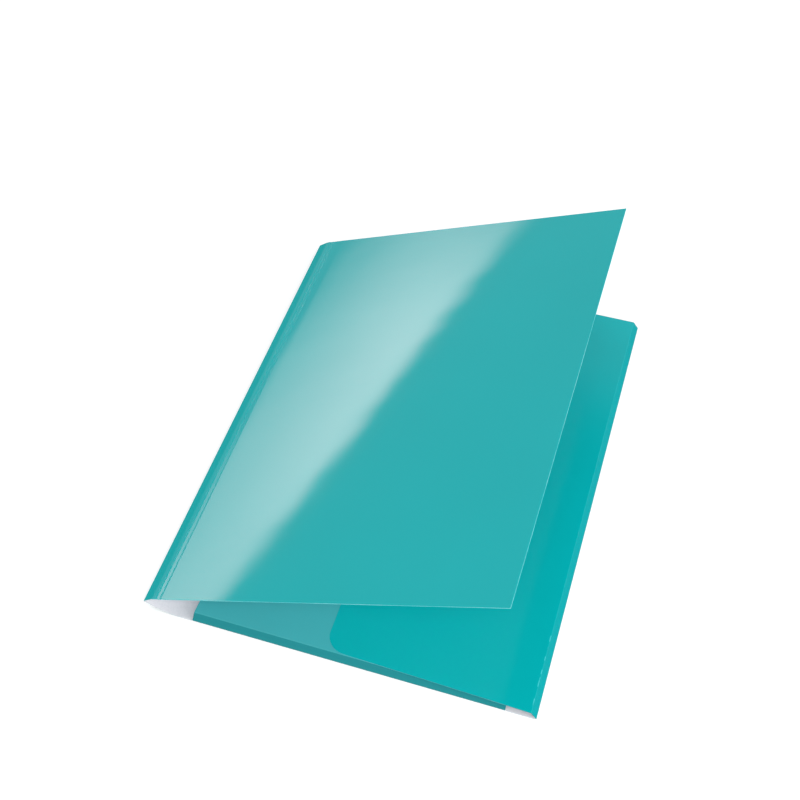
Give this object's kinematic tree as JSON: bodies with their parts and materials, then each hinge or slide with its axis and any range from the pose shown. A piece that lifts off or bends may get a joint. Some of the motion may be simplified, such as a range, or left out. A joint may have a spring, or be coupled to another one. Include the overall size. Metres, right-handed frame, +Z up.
{
  "type": "three-flap folder",
  "caption": "Glossy card folder for A4 papers with a scored spine, a hinged front cover and side, foot and head flaps on gusset creases.",
  "frame": {"origin": "middle of the base of the bounding box, on the underside of the back panel", "axes": "+X from the spine to the side fold, +Y from the foot to the head, +Z up from the surface that the back panel lies on"},
  "size_m": [0.2382, 0.32, 0.1055],
  "materials": {
    "cover_board": "gloss film laminated outside, plain white inside",
    "flap_board": "gloss film laminated outside, plain white inside"
  },
  "bodies": {
    "back_panel": {"back_panel": "cover_board"},
    "spine_back_strip": {"spine_back_strip": "cover_board"},
    "spine_front_strip": {"spine_front_strip": "cover_board"},
    "front_cover": {"front_cover": "cover_board"},
    "side_gusset": {"side_gusset": "flap_board"},
    "side_flap": {"side_flap": "flap_board"},
    "bottom_gusset": {"bottom_gusset": "flap_board"},
    "bottom_flap": {"bottom_flap": "flap_board"},
    "top_gusset": {"top_gusset": "flap_board"},
    "top_flap": {"top_flap": "flap_board"}
  },
  "joints": [
    {"name": "spine_back_crease", "type": "hinge", "parent": "back_panel", "child": "spine_back_strip", "pos_m": [-0.11224, 0, 0.00387], "axis": [0, -1, 0], "range_deg": [0, 25]},
    {"name": "spine_fold", "type": "hinge", "parent": "spine_back_strip", "child": "spine_front_strip", "pos_m": [-0.11858, 0, 0.00683], "axis": [0, -1, 0], "range_deg": [-25.1, 115]},
    {"name": "cover_crease", "type": "hinge", "parent": "spine_front_strip", "child": "front_cover", "pos_m": [-0.11322, 0, 0.01133], "axis": [0, -1, 0], "range_deg": [0, 15.6]},
    {"name": "side_fold", "type": "hinge", "parent": "back_panel", "child": "side_gusset", "pos_m": [0.11858, 0, 0.0005], "axis": [0, 1, 0], "range_deg": [0, 128]},
    {"name": "side_flap_crease", "type": "hinge", "parent": "side_gusset", "child": "side_flap", "pos_m": [0.11519, 0, 0.00483], "axis": [0, 1, 0], "range_deg": [0, 52]},
    {"name": "bottom_fold", "type": "hinge", "parent": "back_panel", "child": "bottom_gusset", "pos_m": [0.00603, -0.1595, 0.0005], "axis": [1, 0, 0], "range_deg": [0, 133]},
    {"name": "bottom_flap_crease", "type": "hinge", "parent": "bottom_gusset", "child": "bottom_flap", "pos_m": [0.00603, -0.15636, 0.00386], "axis": [1, 0, 0], "range_deg": [0, 47]},
    {"name": "top_fold", "type": "hinge", "parent": "back_panel", "child": "top_gusset", "pos_m": [0.00603, 0.1595, 0.0005], "axis": [-1, 0, 0], "range_deg": [0, 133]},
    {"name": "top_flap_crease", "type": "hinge", "parent": "top_gusset", "child": "top_flap", "pos_m": [0.00603, 0.15636, 0.00386], "axis": [-1, 0, 0], "range_deg": [0, 47]}
  ],
  "couplings": [
    {"joint": "side_flap_crease", "follows": "side_fold", "ratio": 0.40625},
    {"joint": "spine_back_crease", "follows": "side_fold", "ratio": 0.19531},
    {"joint": "cover_crease", "follows": "side_fold", "ratio": 0.12187},
    {"joint": "bottom_fold", "follows": "side_fold", "ratio": 0.1155},
    {"joint": "bottom_flap_crease", "follows": "side_fold", "ratio": 0.0408},
    {"joint": "top_fold", "follows": "side_fold", "ratio": 0.1155},
    {"joint": "top_flap_crease", "follows": "side_fold", "ratio": 0.0408}
  ]
}
